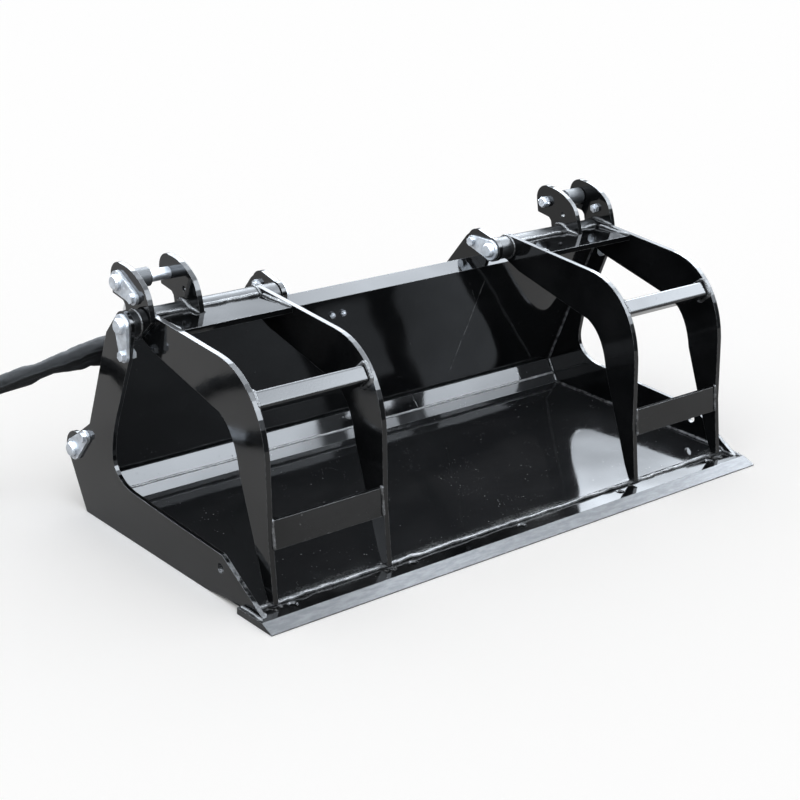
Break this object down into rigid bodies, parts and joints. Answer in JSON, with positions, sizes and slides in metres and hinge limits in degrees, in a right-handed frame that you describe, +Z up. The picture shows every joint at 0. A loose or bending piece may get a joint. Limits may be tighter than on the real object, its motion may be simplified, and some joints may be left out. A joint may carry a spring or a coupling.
{
  "type": "grapple bucket",
  "caption": "Open-fronted loader bucket with a flat cutting edge and separate hydraulic grapples that clamp the load onto its floor.",
  "frame": {"origin": "middle of the bucket's footprint on the ground", "axes": "+X to the bucket's right, -Y towards the cutting edge, +Z up"},
  "size_m": [1.8986, 0.9726, 0.4899],
  "materials": {
    "black_paint": "gloss",
    "zinc": "bright zinc plate",
    "chrome": "polished",
    "dark_steel": "machined",
    "bronze": "machined",
    "grey_block": "satin",
    "rubber": "matte",
    "woven_sleeve": "woven nylon"
  },
  "bodies": {
    "bucket": {"cutting_edge": "black_paint", "floor_sheet": "black_paint", "back_sheet": "black_paint", "left_side_plate": "black_paint", "right_side_plate": "black_paint", "wear_strips": "black_paint", "left_cylinder_lug": "black_paint", "right_cylinder_lug": "black_paint", "left_hinge_rib": "black_paint", "right_hinge_rib": "black_paint", "left_outer_pivot_pin": "zinc", "left_inner_pivot_pin": "zinc", "right_outer_pivot_pin": "zinc", "right_inner_pivot_pin": "zinc", "left_base_pin": "zinc", "right_base_pin": "zinc", "flag_bolts": "zinc", "manifold_block": "grey_block", "hydraulic_bolts": "zinc", "manifold_fittings": "zinc", "left_base_hose": "rubber", "left_rod_hose": "rubber", "right_base_hose": "rubber", "right_rod_hose": "rubber", "hose_clip": "rubber", "supply_sleeve": "woven_sleeve", "supply_coil": "woven_sleeve", "supply_couplers": "zinc"},
    "left_grapple": {"left_outer_arm": "black_paint", "left_inner_arm": "black_paint", "left_pivot_pipe": "black_paint", "left_pivot_bushes": "bronze", "left_top_plate": "black_paint", "left_cross_tube": "black_paint", "left_cross_bar": "black_paint", "left_outer_ear": "black_paint", "left_inner_ear": "black_paint", "left_rod_pin": "zinc", "left_rod_pin_fasteners": "zinc"},
    "left_piston_rod": {"left_rod": "chrome", "left_piston": "dark_steel"},
    "left_cylinder": {"left_barrel": "black_paint", "left_gland": "dark_steel", "left_port_fittings": "zinc"},
    "right_grapple": {"right_outer_arm": "black_paint", "right_inner_arm": "black_paint", "right_pivot_pipe": "black_paint", "right_pivot_bushes": "bronze", "right_top_plate": "black_paint", "right_cross_tube": "black_paint", "right_cross_bar": "black_paint", "right_outer_ear": "black_paint", "right_inner_ear": "black_paint", "right_rod_pin": "zinc", "right_rod_pin_fasteners": "zinc"},
    "right_piston_rod": {"right_rod": "chrome", "right_piston": "dark_steel"},
    "right_cylinder": {"right_barrel": "black_paint", "right_gland": "dark_steel", "right_port_fittings": "zinc"}
  },
  "joints": [
    {"name": "left_grapple_hinge", "type": "hinge", "parent": "bucket", "child": "left_grapple", "pos_m": [-0.43, 0.1205, 0.395], "axis": [-1, 0, 0], "range_deg": [0, 60]},
    {"name": "left_rod_hinge", "type": "hinge", "parent": "left_grapple", "child": "left_piston_rod", "pos_m": [-0.532, 0.1685, 0.456], "axis": [-1, 0, 0], "range_deg": [-60, 0]},
    {"name": "left_cylinder_slide", "type": "slide", "parent": "left_piston_rod", "child": "left_cylinder", "axis": [0, -0.336, 0.9419], "range_m": [0, 0.0777]},
    {"name": "right_grapple_hinge", "type": "hinge", "parent": "bucket", "child": "right_grapple", "pos_m": [0.43, 0.1205, 0.395], "axis": [-1, 0, 0], "range_deg": [0, 60]},
    {"name": "right_rod_hinge", "type": "hinge", "parent": "right_grapple", "child": "right_piston_rod", "pos_m": [0.532, 0.1685, 0.456], "axis": [-1, 0, 0], "range_deg": [-60, 0]},
    {"name": "right_cylinder_slide", "type": "slide", "parent": "right_piston_rod", "child": "right_cylinder", "axis": [0, -0.336, 0.9419], "range_m": [0, 0.0777]}
  ],
  "couplings": [
    {"joint": "left_rod_hinge", "follows": "left_grapple_hinge", "ratio": -0.99018},
    {"joint": "left_cylinder_slide", "follows": "left_grapple_hinge", "m_per_rad": 0.074055},
    {"joint": "right_rod_hinge", "follows": "right_grapple_hinge", "ratio": -0.99018},
    {"joint": "right_cylinder_slide", "follows": "right_grapple_hinge", "m_per_rad": 0.074055}
  ]
}
